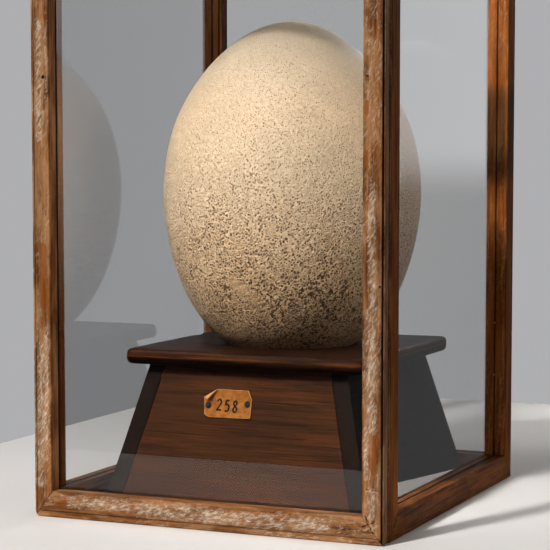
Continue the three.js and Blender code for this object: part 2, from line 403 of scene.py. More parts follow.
def stand_wood(name, along, red, gray=0.0, tone=1.0, edged=False):
    """Dark stained wood with reddish streaks along its grain. gray is how far its colour has gone, and edged
    gives the slab's edge a bright streak at its middle and a black lower part, painted shade where it curves
    round beneath."""
    m = Material(name)
    stretch = grain_scale(along)
    grain = m.noise(stretch(330.0, 9.0), 5.0, 0.62, 0.5)
    bands = m.noise(stretch(150.0, 6.0), 3.0, 0.55, 0.8)
    fine = m.noise(stretch(1300.0, 45.0), 2.0, 0.6)
    slow = m.noise(stretch(26.0, 8.0), 2.0, 0.5)
    dark = tuple(value * tone for value in (0.008, 0.0030, 0.0017))
    middle = tuple(value * tone for value in (0.030, 0.0112, 0.0046))
    warm = (0.066, 0.0185, 0.0045)
    color = m.mix(m.ramp(grain, 0.28, 0.58), dark, middle)
    threads = m.noise(stretch(800.0, 16.0), 3.0, 0.6, 0.3)
    streaks = m.math("MAXIMUM", m.ramp(bands, 0.50, 0.66, 0.0, 0.75), m.ramp(threads, 0.53, 0.62))
    streaks = m.times(streaks, m.ramp(slow, 0.3, 0.65, 0.2, 0.9))
    color = m.mix(m.times(streaks, red), color, warm)
    color = m.mix(m.times(m.ramp(fine, 0.58, 0.7), 0.6), color, dark)
    rubbed = m.times(m.attribute("arris"), m.ramp(bands, 0.50, 0.68, 0.0, 0.6))
    color = m.mix(rubbed, color, (0.062, 0.021, 0.009))
    if gray:
        color = m.mix(gray, color, (0.0060, 0.0045, 0.0040))
    if edged:
        height = m.split(m.place)[2]
        wavy = m.plus(height, m.times(m.minus(grain, 0.5), 0.006))
        # Painted shade: the lower part of the slab's edge, curving round beneath, is darkened
        underside_shade = m.ramp(wavy, 0.1365, 0.1335)
        color = m.mix(m.times(underside_shade, 0.85), color, m.tinted(color, (0.28, 0.24, 0.24)))
        streak = m.times(m.ramp(height, 0.1355, 0.1372), m.ramp(height, 0.1395, 0.1378))
        streak = m.times(streak, m.ramp(m.noise(stretch(700.0, 12.0), 3.0, 0.6), 0.42, 0.58))
        color = m.mix(m.times(streak, 0.7), color, (0.095, 0.026, 0.006))
    m.specular(0.022)
    roughness = m.ramp(fine, 0.3, 0.7, 0.42, 0.60)
    height = m.plus(m.times(grain, 0.7), m.times(fine, 0.3))
    return m.finish(color, roughness, height, 0.08)


def floor_wood():
    m = Material("floor_wood")
    grain = m.noise((260.0, 8.0, 260.0), 4.0, 0.6, 0.4)
    dust = m.noise(300.0, 3.0, 0.7)
    color = m.mix(m.ramp(grain, 0.35, 0.65), (0.030, 0.017, 0.011), (0.065, 0.036, 0.022))
    color = m.mix(m.ramp(dust, 0.5, 0.8, 0.0, 0.35), color, (0.16, 0.14, 0.12))
    return m.finish(color, m.ramp(dust, 0.3, 0.7, 0.5, 0.75), grain, 0.15)


# Bald places of the shell: start, end and radius
BALD_PLACES = [
    ((-7.0, -102.0, 205.0), (11.0, -95.0, 189.0), 8.0),
    ((32.5, -109.7, 249.7), (34.0, -110.5, 254.0), 5.0),
    ((-74.0, -57.0, 196.0), (-66.0, -60.0, 186.0), 8.0),
    ((-84.0, -62.0, 252.0), (-80.0, -66.0, 262.0), 8.0),
]

# Its larger pits: centre and radius
LARGE_PITS = [
    ((-15.1, -101.5, 208.1), 3.0), ((1.8, -104.9, 213.2), 2.4), ((38.2, -92.4, 195.1), 4.0),
    ((45.1, -75.3, 171.3), 4.5), ((66.7, -58.3, 170.6), 4.0), ((31.0, -88.0, 179.0), 3.4),
]


def eggshell():
    """Cream shell, darker towards the bottom with dirt and painted shade. Its small slanting pits are faint
    near the top and coarse, dark and crowded lower down.
    """
    m = Material("eggshell")
    height = m.split(m.place)[2]
    low = m.ramp(height, 0.330, 0.165)
    base = m.ramp(height, 0.225, 0.140)
    sway = m.vector("SUBTRACT", m.noise(420.0, 2.0, 0.6, color=True), (0.5, 0.5, 0.5))
    slant = m.vector("ADD", m.turned((0.62, 0.27, 0.74)), m.vector("SCALE", sway, 0.0006))
    patches = m.noise(48.0, 3.0, 0.6)
    bald = m.any_of([m.near_line(start, end, radius, 0.8, 1.2) for start, end, radius in BALD_PLACES])
    crowding = m.plus(m.ramp(height, 0.450, 0.190, 0.05, 1.0), m.ramp(patches, 0.3, 0.7, -0.20, 0.20))
    crowding = m.minus(crowding, m.times(bald, 1.5))
    # A patch low on the right front: more pits there, and a darker tint that is painted shade
    pocked_and_shaded = m.near((56.0, -84.0, 170.0), 70.0, 1.0)
    crowding = m.plus(crowding, m.times(pocked_and_shaded, 0.4))

    def pits(scale, least, most):
        distance, chance = m.cells(scale, slant)
        reach = m.ramp(crowding, 0.0, 1.0, least, most)
        reach = m.times(reach, m.ramp(chance, 0.0, 1.0, 0.75, 1.15))
        share = m.math("DIVIDE", distance, m.math("MAXIMUM", reach, 0.01))
        return m.ramp(share, 1.0, 0.45), m.times(m.ramp(share, 1.9, 1.3), m.ramp(share, 0.8, 1.1))

    fine, fine_rim = pits((420.0, 540.0, 540.0), 0.31, 0.40)
    fine = m.times(fine, m.ramp(crowding, -1.0, -0.3))
    coarse, coarse_rim = pits((300.0, 380.0, 380.0), 0.0, 0.42)
    coarse = m.times(coarse, m.ramp(crowding, 0.45, 0.90))
    rims = m.times(m.any_of([fine_rim, coarse_rim]), m.ramp(height, 0.440, 0.260, 0.35, 1.0))
    worms = m.ramp(m.noise((270.0, 460.0, 460.0), 1.0, 0.5, 0.3, place=slant), 0.45, 0.40)
    worms = m.times(worms, m.ramp(crowding, 0.85, 1.2))
    large = m.any_of([m.near(centre, radius, 0.8) for centre, radius in LARGE_PITS])
    hollows = m.any_of([fine, coarse, worms, m.times(large, m.ramp(patches, 0.6, 0.4))])
    blotches = m.noise(24.0, 3.0, 0.6)
    color = m.mix(m.ramp(blotches, 0.3, 0.7), (0.385, 0.282, 0.178), (0.425, 0.300, 0.185))
    color = m.mix(m.ramp(height, 0.340, 0.425), color, (0.372, 0.300, 0.213))
    # The lower shell is darkened by stains, dirt, a warmer tint and darker pits: partly real dirt, partly
    # painted shade where the shell turns down
    stains = m.ramp(m.noise(34.0, 3.0, 0.6), 0.38, 0.62, 0.15, 0.75)
    stained_and_shaded = m.times(m.ramp(height, 0.300, 0.215), stains)
    tan_spots = m.ramp(m.noise(60.0, 3.0, 0.6), 0.3, 0.6, 0.2, 0.9)
    tanned = m.times(m.near((-75.0, -75.0, 212.0), 62.0, 1.0), tan_spots)
    color = m.mix(m.math("MAXIMUM", stained_and_shaded, tanned), color, (0.26, 0.145, 0.064))
    grime_and_shade = m.times(base, m.ramp(m.noise(50.0, 3.0, 0.6), 0.25, 0.65, 0.10, 0.60))
    color = m.mix(grime_and_shade, color, (0.180, 0.095, 0.040))
    color = m.mix(m.times(bald, 0.7), color, (0.440, 0.318, 0.200))
    # Painted shade: the low right front is tinted darker
    color = m.mix(pocked_and_shaded, color, m.tinted(color, (0.74, 0.66, 0.58)))
    # Painted highlight: the pit rims, raised in the bump, are also paled in colour
    color = m.mix(m.times(rims, 0.75), color, (0.600, 0.465, 0.315))
    # Dirt and painted shade: the lower shell is tinted warmer and darker
    color = m.mix(m.ramp(height, 0.310, 0.165), color, m.tinted(color, (1.0, 0.87, 0.72)))
    pit_color = m.mix(low, (0.180, 0.088, 0.034), (0.024, 0.008, 0.003))
    color = m.mix(m.times(hollows, m.ramp(height, 0.440, 0.250, 0.40, 0.88)), color, pit_color)
    grains = m.noise(1500.0, 2.0, 0.6)
    depth = m.ramp(height, 0.440, 0.180, 0.8, 1.5)
    relief = m.plus(m.times(grains, 0.12), m.times(rims, 0.3))
    lumps = m.noise(290.0, 2.0, 0.6)
    relief = m.plus(relief, m.times(lumps, m.ramp(height, 0.400, 0.200, 0.4, 3.2)))
    relief = m.minus(relief, m.times(hollows, depth))
    m.specular(0.22)
    return m.finish(color, m.ramp(grains, 0.3, 0.7, 0.46, 0.62), relief, 0.75)


def clear_glass(name, bending):
    m = Material(name)
    m.shader.inputs["Transmission Weight"].default_value = 1.0
    m.shader.inputs["IOR"].default_value = bending
    smears = m.noise((9.0, 9.0, 5.0), 3.0, 0.6)
    ripple = m.noise(7.0, 1.0, 0.5)
    return m.finish((0.945, 0.95, 0.95), m.ramp(smears, 0.55, 0.8, 0.0, 0.015), ripple, 0.02)


# A near-black band on the panes: painted shade where they sit in the wood
def groove_shade_band():
    m = Material("groove_shade_band")
    dust = m.noise(700.0, 2.0, 0.6)
    color = m.mix(m.ramp(dust, 0.45, 0.75, 0.0, 0.5), (0.006, 0.005, 0.004), (0.035, 0.025, 0.018))
    return m.finish(color, 0.75, dust, 0.05)


def tag_paper():
    m = Material("tag_paper")
    fibres = m.noise((900.0, 900.0, 500.0), 3.0, 0.65)
    stains = m.noise(160.0, 3.0, 0.6, 0.4)
    color = m.mix(m.ramp(stains, 0.35, 0.68), (0.130, 0.040, 0.004), (0.215, 0.080, 0.013))
    m.specular(0.12)
    color = m.mix(m.ramp(fibres, 0.6, 0.75, 0.0, 0.35), color, (0.13, 0.045, 0.012))
    color = m.mix(m.attribute("arris"), color, (0.38, 0.19, 0.065))
    return m.finish(color, m.ramp(fibres, 0.3, 0.7, 0.7, 0.9), m.plus(fibres, stains), 0.12)


def ink():
    m = Material("ink")
    fade = m.noise(500.0, 2.0, 0.6)
    color = m.mix(m.ramp(fade, 0.45, 0.75), (0.007, 0.004, 0.003), (0.022, 0.012, 0.007))
    m.specular(0.04)
    return m.finish(color, 0.8, fade, 0.02)


def tack_steel():
    m = Material("tack_steel")
    rust = m.noise(900.0, 3.0, 0.6)
    color = m.mix(m.ramp(rust, 0.45, 0.7), (0.006, 0.005, 0.0045), (0.022, 0.011, 0.006))
    m.specular(0.15)
    return m.finish(color, m.ramp(rust, 0.3, 0.7, 0.45, 0.7), rust, 0.08)


def brass_pin():
    m = Material("brass_pin")
    wear = m.noise(1500.0, 2.0, 0.6)
    m.shader.inputs["Metallic"].default_value = 0.8
    color = m.mix(m.ramp(wear, 0.4, 0.7), (0.55, 0.42, 0.28), (0.3, 0.17, 0.08))
    return m.finish(color, m.ramp(wear, 0.3, 0.7, 0.3, 0.5), wear, 0.03)


# Case members: an outline in (across, depth), swept along the member's length

def rounded_outline(corners, steps=3):
    """Rounds an outline's corners, each (across, depth, radius, sunk). Returns points, arris and sunk. sunk
    darkens grooves and sunk lines with painted shade.
    """
    points, arris, sunk = [], [], []
    count = len(corners)
    for i, (u, v, radius, dark) in enumerate(corners):
        here = Vector((u, v))
        if radius <= 0:
            points.append(here)
            arris.append(0.0)
            sunk.append(dark)
            continue
        before = Vector(corners[i - 1][:2]) - here
        after = Vector(corners[(i + 1) % count][:2]) - here
        start = here + before.normalized() * min(radius, before.length * 0.49)
        end = here + after.normalized() * min(radius, after.length * 0.49)
        for k in range(steps + 1):
            t = k / steps
            points.append(start * (1 - t) ** 2 + here * 2 * t * (1 - t) + end * t ** 2)
            arris.append(1.0 if 0 < k < steps else 0.35)
            sunk.append(dark)
    return points, arris, sunk


def sweep(corners, start, end, to_case, seed, step=2.6, dents=0.5):
    """Points, faces and marks of a member. start and end give where it begins and ends at (across, depth)."""
    outline, arris, sunk = rounded_outline(corners)
    centre = sum(outline, Vector((0, 0))) / len(outline)
    longest = max(end(p.x, p.y) - start(p.x, p.y) for p in outline)
    near_end = [0.0, 1.0 / longest, 2.4 / longest]
    middle = np.linspace(near_end[-1], 1 - near_end[-1], max(int(longest / step), 3)).tolist()
    shares = near_end[:-1] + middle + [1 - x for x in reversed(near_end[:-1])]
    joints = [0.35, 0.0] + [0.0] * len(middle) + [0.0, 0.35]
    points, marks = [], {"arris": [], "joint": [], "sunk": []}
    for share, joint in zip(shares, joints):
        for p, edge, dark in zip(outline, arris, sunk):
            length = start(p.x, p.y) * (1 - share) + end(p.x, p.y) * share
            moved = Vector(p)
            if edge:
                wander = noise.noise(Vector((length * 0.045, seed + p.x * 0.2, p.y * 0.2)))
                chance = noise.noise(Vector((length * 0.16, seed * 2.0 + p.x * 0.05, p.y * 0.05)))
                chip = max(chance - 0.28, 0.0)
                inwards = (centre - p).normalized()
                moved += inwards * edge * dents * (0.3 * max(wander, 0.0) + 2.2 * chip)
            points.append(to_case(moved.x, moved.y, length))
            marks["arris"].append(edge)
            marks["joint"].append(joint)
            marks["sunk"].append(dark)
    count = len(outline)
    faces = []
    for r in range(len(shares) - 1):
        faces += band(r * count, (r + 1) * count, count)
    faces.append(tuple(range(count)))
    faces.append(tuple((len(shares) - 1) * count + i for i in range(count)))
    return points, faces, marks


def round_case_corner(point, radius):
    """Pulls a point of the front frame in to the rounded outer corner of the frame."""
    x, y, z = point
    side = 1.0 if x > 0 else -1.0
    from_side = HALF_WIDTH - abs(x)
    from_end = z if z < HEIGHT / 2 else HEIGHT - z
    if from_side >= radius or from_end >= radius:
        return point
    offset = Vector((radius - from_side, radius - from_end))
    if offset.length > radius:
        offset = offset.normalized() * radius
    new_end = radius - offset.y
    return (side * (HALF_WIDTH - radius + offset.x), y, new_end if z < HEIGHT / 2 else HEIGHT - new_end)


def ledge_corners(thick, radius):
    """The ledge that holds the top pane, cut into the inner side of a top rail."""
    inner = thick - LEDGE_WIDTH
    return [(LEDGE_DROP, thick, 0.0, 0.0), (LEDGE_DROP, inner, 0.0, 0.0), (0.0, inner, radius, 0.0)]


def front_corners(width, line, ledge=False):
    """Outline of a front member. line is its sunk line: where it starts, its width, depth and darkness, which
    is painted shade.
    """
    start, line_width, depth, dark = line
    corners = [
        (0.0, 0.0, min(1.6, start * 0.6), 0.0), (start, 0.0, 0.2, 0.2), (start + 0.15, depth, 0.0, dark),
        (start + line_width - 0.1, depth, 0.0, dark), (start + line_width, 0.0, 0.4, 0.2),
        (width, 0.0, 1.6, 0.0), (width, REBATE_FROM, 0.0, 0.0),
        (width - REBATE_WIDTH, REBATE_FROM, 0.0, 0.0), (width - REBATE_WIDTH, FRONT_THICK, 0.0, 0.0),
    ]
    if ledge:
        return corners + ledge_corners(FRONT_THICK, 0.6)
    return corners + [(0.0, FRONT_THICK, 0.8, 0.3)]


def side_groove():
    """The sunk line along the outer side of a front stile, painted dark as shade."""
    return [(0.0, 12.6, 0.5, 0.2), (1.0, 12.2, 0.0, 1.0), (1.0, 9.9, 0.0, 1.0), (0.0, 9.4, 0.5, 0.2)]


def grooved_corners(width, ledge=False):
    """Outline of a side or back member with a groove for the glass, whose bottom is painted dark as shade."""
    near, far = GROOVE
    bottom = width - GROOVE_DEPTH
    corners = [
        (0.0, 0.0, 1.4, 0.0), (width, 0.0, 1.2, 0.0), (width, near, 0.4, 0.3), (bottom, near, 0.0, 1.0),
        (bottom, far, 0.0, 1.0), (width, far, 0.4, 0.3), (width, SIDE_THICK, 0.9, 0.0),
    ]
    if ledge:
        return corners + ledge_corners(SIDE_THICK, 0.4)
    return corners + [(0.0, SIDE_THICK, 0.6, 0.0)]


def front_frame(woods):
    gap = SEAM
    tight = 0.06
    right_line = (0.7, 1.9, 1.8, 1.0)
    left_line = (2.25, 0.5, 0.7, 0.8)
    rail_line = (5.2, 0.7, 0.6, 0.45)
    left = front_corners(FRONT_LEFT, left_line) + side_groove()
    right = front_corners(FRONT_RIGHT, right_line) + side_groove()
    rise = lambda width, space: (lambda u, v: space + u * RAIL / width)
    fall = lambda width, space: (lambda u, v: HEIGHT - space - u * RAIL / width)
    rail_start = lambda u, v: gap + u * FRONT_LEFT / RAIL
    rail_end = lambda u, v: 2 * HALF_WIDTH - tight - u * FRONT_RIGHT / RAIL
    members = {
        "front_stile_left": (left, rise(FRONT_LEFT, gap), fall(FRONT_LEFT, gap),
                             lambda u, v, s: (u - HALF_WIDTH, v - HALF_DEPTH, s), woods["front_z"]),
        "front_stile_right": (right, rise(FRONT_RIGHT, tight), fall(FRONT_RIGHT, tight),
                              lambda u, v, s: (HALF_WIDTH - u, v - HALF_DEPTH, s), woods["front_z"]),
        "front_rail_bottom": (front_corners(RAIL, rail_line), rail_start, rail_end,
                              lambda u, v, s: (s - HALF_WIDTH, v - HALF_DEPTH, u), woods["front_x"]),
        "front_rail_top": (front_corners(RAIL, rail_line, True), rail_start, rail_end,
                           lambda u, v, s: (s - HALF_WIDTH, v - HALF_DEPTH, HEIGHT - u), woods["front_x"]),
    }
    for seed, (name, (corners, start, end, to_case, wood)) in enumerate(members.items()):
        points, faces, marks = sweep(corners, start, end, to_case, 3.7 * seed)
        points = [round_case_corner(p, LEFT_ROUNDING if p[0] < 0 else RIGHT_ROUNDING) for p in points]
        make_piece(name + "_wood", points, faces, wood, [name], marks)


def side_frame(side, woods):
    """Stiles and rails of the left or right side. Lengths run back from the front frame."""
    sign = -1.0 if side == "left" else 1.0
    gap = SEAM
    seed = 20.0 if side == "left" else 40.0
    rise = lambda width: (lambda u, v: gap + u * RAIL / width)
    fall = lambda width: (lambda u, v: HEIGHT - gap - u * RAIL / width)
    rail_start = lambda u, v: gap + u * SIDE_FRONT / RAIL if v < GROOVE[0] + 0.1 else 0.0
    rail_end = lambda u, v: SIDE_LENGTH - gap - u * SIDE_BACK / RAIL
    thick = GROOVE[0]
    front_stile = [
        (0.0, 0.0, 1.8, 0.0), (SIDE_FRONT, 0.0, 1.2, 0.0),
        (SIDE_FRONT, thick, 0.4, 0.0), (0.0, thick, 0.0, 0.0),
    ]
    across = lambda v: sign * (HALF_WIDTH - v)
    members = {
        "stile_front": (front_stile, rise(SIDE_FRONT), fall(SIDE_FRONT),
                        lambda u, v, s: (across(v), SIDE_START + u, s), woods["side_z"]),
        "stile_back": (grooved_corners(SIDE_BACK), rise(SIDE_BACK), fall(SIDE_BACK),
                       lambda u, v, s: (across(v), HALF_DEPTH - u, s), woods["side_z"]),
        "rail_bottom": (grooved_corners(RAIL), rail_start, rail_end,
                        lambda u, v, s: (across(v), SIDE_START + s, u), woods["side_y"]),
        "rail_top": (grooved_corners(RAIL, True), rail_start, rail_end,
                     lambda u, v, s: (across(v), SIDE_START + s, HEIGHT - u), woods["side_y"]),
    }
    for offset, (name, (corners, start, end, to_case, wood)) in enumerate(members.items()):
        points, faces, marks = sweep(corners, start, end, to_case, seed + 2.9 * offset, dents=0.4)
        make_piece(f"{side}_{name}_wood", points, faces, wood, [f"{side}_{name}"], marks)


def back_frame(woods):
    length = 2 * BACK_HALF
    fillet = [(0.0, 0.0, 0.0, 0.0), (FILLET, 0.0, 0.4, 0.0), (FILLET, 6.4, 0.9, 0.0), (0.0, 6.4, 0.0, 0.0)]
    members = {
        "back_rail_bottom": (grooved_corners(RAIL), lambda u, v: 0.0, lambda u, v: length,
                             lambda u, v, s: (s - BACK_HALF, HALF_DEPTH - v, u), woods["side_x"]),
        "back_rail_top": (grooved_corners(RAIL, True), lambda u, v: 0.0, lambda u, v: length,
                          lambda u, v, s: (s - BACK_HALF, HALF_DEPTH - v, HEIGHT - u), woods["side_x"]),
    }
    for side, sign in (("left", -1.0), ("right", 1.0)):
        members[f"back_fillet_{side}"] = (
            fillet, lambda u, v: RAIL + SEAM, lambda u, v: HEIGHT - RAIL - SEAM,
            lambda u, v, s, sign=sign: (sign * (BACK_HALF - u), HALF_DEPTH - GROOVE[1] - v, s),
            woods["side_z"])
    for offset, (name, (corners, start, end, to_case, wood)) in enumerate(members.items()):
        points, faces, marks = sweep(corners, start, end, to_case, 60.0 + 3.3 * offset, dents=0.3)
        make_piece(name + "_wood", points, faces, wood, [name], marks)


# Panes

def pane(name, low, high, flat_axis, bands, materials):
    """A glass sheet with ground arrises. bands are the widths held in the wood, low and high on each axis."""
    axes = [i for i in range(3) if i != flat_axis]
    bevel = 0.3
    cuts = []
    for axis, (near, far) in zip(axes, bands):
        first, last = low[axis], high[axis]
        cuts.append([first, first + bevel, first + near, last - far, last - bevel, last])
    points, faces, slots = [], [], []
    index = {}

    def point(i, j, level):
        key = (i, j, level)
        if key not in index:
            rim = i in (0, 5) or j in (0, 5)
            depth = (low[flat_axis] if level == 0 else high[flat_axis])
            if rim:
                depth += bevel if level == 0 else -bevel
            place = [0.0, 0.0, 0.0]
            place[flat_axis] = depth
            place[axes[0]] = cuts[0][i]
            place[axes[1]] = cuts[1][j]
            index[key] = len(points)
            points.append(tuple(place))
        return index[key]

    for level in (0, 1):
        for i in range(5):
            for j in range(5):
                around = ((i, j), (i + 1, j), (i + 1, j + 1), (i, j + 1))
                faces.append(tuple(point(a, b, level) for a, b in around))
                # Outside the middle the pane takes the black band, painted shade
                slots.append(0 if i == 2 and j == 2 else 1)
    rim = [(i, 0) for i in range(5)] + [(5, j) for j in range(5)]
    rim += [(i, 5) for i in range(5, 0, -1)] + [(0, j) for j in range(5, 0, -1)]
    for k, (i, j) in enumerate(rim):
        a, b = rim[(k + 1) % len(rim)]
        faces.append((point(i, j, 0), point(a, b, 0), point(a, b, 1), point(i, j, 1)))
        slots.append(1)
    piece = make_piece(name + "_pane", points, faces, materials, [name], face_slots=slots)
    piece.visible_shadow = False


def panes():
    """Every pane lies in its CAD node's box. A black band, painted shade, shows where the wood holds it."""
    edge = groove_shade_band()
    front_glass = [clear_glass("front_glass", FRONT_BENDING), edge]
    side_glass = [clear_glass("side_glass", SIDE_BENDING), edge]
    held = PANE_HELD + PANE_EDGE_SHOWN
    bands = {
        "glass_front": (1, (held, held), (held, held)),
        "glass_left": (0, (0.6, held - 0.3), (held - 0.3, held - 0.3)),
        "glass_right": (0, (0.6, held - 0.3), (held - 0.3, held - 0.3)),
        "glass_back": (1, (0.6, 0.6), (held, held)),
        "glass_top": (2, (held, held), (held, held)),
    }
    for name, (flat_axis, *widths) in bands.items():
        low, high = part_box(name)
        pane(name, low / MM, high / MM, flat_axis, widths, side_glass if flat_axis == 0 else front_glass)


# Stand

def slab_reach(angle, inset):
    """Distance from the seat's centre to the slab's rounded outline, pulled in by inset, in one direction."""
    half_x = SLAB_HALF[0] - inset
    half_y = SLAB_HALF[1] - inset
    corner = max(SLAB_CORNER - inset, 0.6)
    direction = Vector((math.cos(angle), math.sin(angle)))
    shift = EGG_AXIS[0] - STAND[0]
    low, high = 0.0, 200.0
    for _ in range(26):
        middle = (low + high) / 2
        x = abs(shift + direction.x * middle) - (half_x - corner)
        y = abs(direction.y * middle) - (half_y - corner)
        outside = math.hypot(max(x, 0), max(y, 0)) + min(max(x, y), 0) - corner
        if outside > 0:
            high = middle
        else:
            low = middle
    return low


def slab_angles():
    """Directions round the seat, closer together at the slab's corners."""
    angles = set(np.linspace(0, 2 * math.pi, 288, endpoint=False).round(5).tolist())
    for sx in (-1, 1):
        for sy in (-1, 1):
            centre = math.atan2(sy * SLAB_HALF[1], sx * SLAB_HALF[0] - EGG_AXIS[0] + STAND[0])
            angles.update((np.linspace(centre - 0.09, centre + 0.09, 25) % (2 * math.pi)).round(5).tolist())
    return sorted(angles)


def slab(wood):
    seat = egg_radius((SLAB_TOP - EGG_POLE) / EGG_LENGTH) + SEAT_CLEARANCE
    bottom = SLAB_TOP - SLAB_THICK
    # Each ring is how far it lies in from the outline, its height, and whether it is an arris
    section = [
        (40.0, bottom, 0.0), (8.0, bottom, 0.0), (5.0, bottom, 0.2), (3.0, bottom + 0.5, 0.4),
        (1.2, bottom + 1.9, 0.6), (0.2, bottom + 4.2, 0.4), (0.0, bottom + 6.5, 0.2),
        (0.1, bottom + 9.0, 0.5), (0.7, bottom + 11.3, 1.0),
        (2.0, SLAB_TOP - 0.9, 1.0), (3.6, SLAB_TOP - 0.25, 0.6),
        (6.0, SLAB_TOP, 0.0), (14.0, SLAB_TOP, 0.0), (26.0, SLAB_TOP, 0.0), (40.0, SLAB_TOP, 0.0),
    ]
    hole = [(seat + 0.7, SLAB_TOP, 0.3), (seat, SLAB_TOP - 0.7, 0.3), (seat, bottom, 0.0)]
    angles = slab_angles()
    points, marks = [], {"arris": []}
    for angle in angles:
        direction = Vector((math.cos(angle), math.sin(angle)))
        for inset, z, edge in section:
            reach = slab_reach(angle, inset)
            x = EGG_AXIS[0] + direction.x * reach
            y = EGG_AXIS[1] + direction.y * reach
            wear = noise.noise(Vector((x * 0.03, y * 0.03, z * 0.12)))
            if inset < 7:
                reach -= (0.5 + wear) * 0.7
                x = EGG_AXIS[0] + direction.x * reach
                y = EGG_AXIS[1] + direction.y * reach
            notch = math.exp(-(((x + 111.0) / 5.0) ** 2) - ((y - 36.0) / 7.0) ** 2)
            sink = 0.35 * max(wear, 0.0) if z > SLAB_TOP - 3 else 0.0
            points.append((x + 3.0 * notch, y, z - sink - (2.2 * notch if z > SLAB_TOP - 4 else 0.0)))
            marks["arris"].append(edge)
        for radius, z, edge in hole:
            points.append((EGG_AXIS[0] + direction.x * radius, EGG_AXIS[1] + direction.y * radius, z))
            marks["arris"].append(edge)
    rows = len(section) + len(hole)
    faces = []
    for a in range(len(angles)):
        faces += band(a * rows, (a + 1) % len(angles) * rows, rows)
    make_piece("stand_slab_wood", points, faces, wood, ["stand_slab"], marks, smooth=True)


def board(name, lower, upper, wood):
    """A board between a lower and an upper rectangle, each (x low, x high, y low, y high)."""
    bottom = FLOOR_TOP + SEAM
    top = SLAB_TOP - SLAB_THICK - SEAM
    work = bmesh.new()
    corners = {}
    for level, (rect, z) in enumerate(((lower, bottom), (upper, top))):
        for i, x in enumerate(rect[:2]):
            for j, y in enumerate(rect[2:]):
                corners[i, j, level] = work.verts.new(((STAND[0] + x) * MM, (STAND[1] + y) * MM, z * MM))
    for level in (0, 1):
        work.faces.new([corners[i, j, level] for i, j in ((0, 0), (1, 0), (1, 1), (0, 1))])
    for i, j, a, b in ((0, 0, 1, 0), (1, 0, 1, 1), (1, 1, 0, 1), (0, 1, 0, 0)):
        work.faces.new([corners[i, j, 0], corners[a, b, 0], corners[a, b, 1], corners[i, j, 1]])
    bmesh.ops.recalc_face_normals(work, faces=work.faces)
    piece = add_eased(work, 0.7, name + "_wood", wood, name)
    piece.data.attributes.new("arris", "FLOAT", "POINT")


def plinth(front, side):
    (tx, ty), (bx, by), t = PLINTH_TOP_HALF, PLINTH_BOTTOM_HALF, BOARD_THICK
    low = bx - t - SEAM
    high = tx - t - SEAM
    board("stand_board_left", (-bx, t - bx, -by, by), (-tx, t - tx, -ty, ty), side)
    board("stand_board_right", (bx - t, bx, -by, by), (tx - t, tx, -ty, ty), side)
    board("stand_board_front", (-low, low, -by, t - by), (-high, high, -ty, t - ty), front)
    board("stand_board_back", (-low, low, by - t, by), (-high, high, ty - t, ty), front)


def case_floor(wood):
    low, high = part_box("case_floor")
    work = bmesh.new()
    bmesh.ops.create_cube(work, size=1.0)
    for vertex in work.verts:
        for axis in range(3):
            vertex.co[axis] = low[axis] if vertex.co[axis] < 0 else high[axis]
    add_eased(work, 0.6, "case_floor_wood", wood, "case_floor")


# Egg

def egg_radius(share):
    c = 2 * share - 1
    first, second, third = EGG_SHAPE
    return EGG_RADIUS * math.sqrt(max(1 - c * c, 0.0)) * (1 + first * c + second * c ** 2 + third * c ** 3)


def egg(shell, rings=250, sides=380):
    """The shell: slow undulations all over, and worm-like ridges that fade out above the middle."""
    points = [(EGG_AXIS[0], EGG_AXIS[1], EGG_POLE)]
    for i in range(1, rings):
        share = (1 - math.cos(math.pi * i / rings)) / 2
        radius = egg_radius(share)
        z = EGG_POLE + share * EGG_LENGTH
        ridged = min(max((245.0 - z) / 90.0, 0.0), 1.0)
        for k in range(sides):
            angle = 2 * math.pi * k / sides
            x = radius * math.cos(angle)
            y = radius * math.sin(angle)
            place = Vector((x, y, z))
            swell = 0.45 * noise.noise(place * 0.022) + 0.12 * noise.noise(place * 0.09)
            worm = noise.noise(Vector((place.x * 0.17, place.y * 0.17, place.z * 0.26)))
            ridge = ridged * 0.42 * (abs(worm) - 0.2)
            grown = 1 + (swell - 0.2 - ridge) / EGG_RADIUS
            points.append((EGG_AXIS[0] + x * grown, EGG_AXIS[1] + y * grown, z))
    points.append((EGG_AXIS[0], EGG_AXIS[1], EGG_POLE + EGG_LENGTH))
    last = len(points) - 1
    top_ring = last - sides
    faces = []
    for i in range(rings - 2):
        faces += band(1 + i * sides, 1 + (i + 1) * sides, sides)
    faces += [(0, 1 + (k + 1) % sides, 1 + k) for k in range(sides)]
    faces += [(last, top_ring + k, top_ring + (k + 1) % sides) for k in range(sides)]
    make_piece("egg_shell", points, faces, shell, ["egg"], smooth=True)


# Tag, its digits and its tacks

TAG_LEAN = math.atan2(PLINTH_BOTTOM_HALF[1] - PLINTH_TOP_HALF[1], SLAB_TOP - SLAB_THICK - FLOOR_TOP)


def on_board(x, z, off):
    """A point over the front board's face: x, height z, and how far it stands off the face."""
    down = SLAB_TOP - SLAB_THICK - z
    y = STAND[1] - PLINTH_TOP_HALF[1] - down * math.tan(TAG_LEAN)
    return (x, y - off * math.cos(TAG_LEAN), z + off * math.sin(TAG_LEAN))


def tag_lift(x, z):
    """How far the paper stands off the board: it curls up along its right and lower edges."""
    right = max((x - 4.0) / 8.0, 0.0) ** 2
    lower = max((92.0 - z) / 7.0, 0.0) ** 2
    buckle = 0.25 * noise.noise(Vector((x * 0.12, z * 0.12, 4.0)))
    return 0.75 + 0.55 * right + 0.6 * lower + buckle


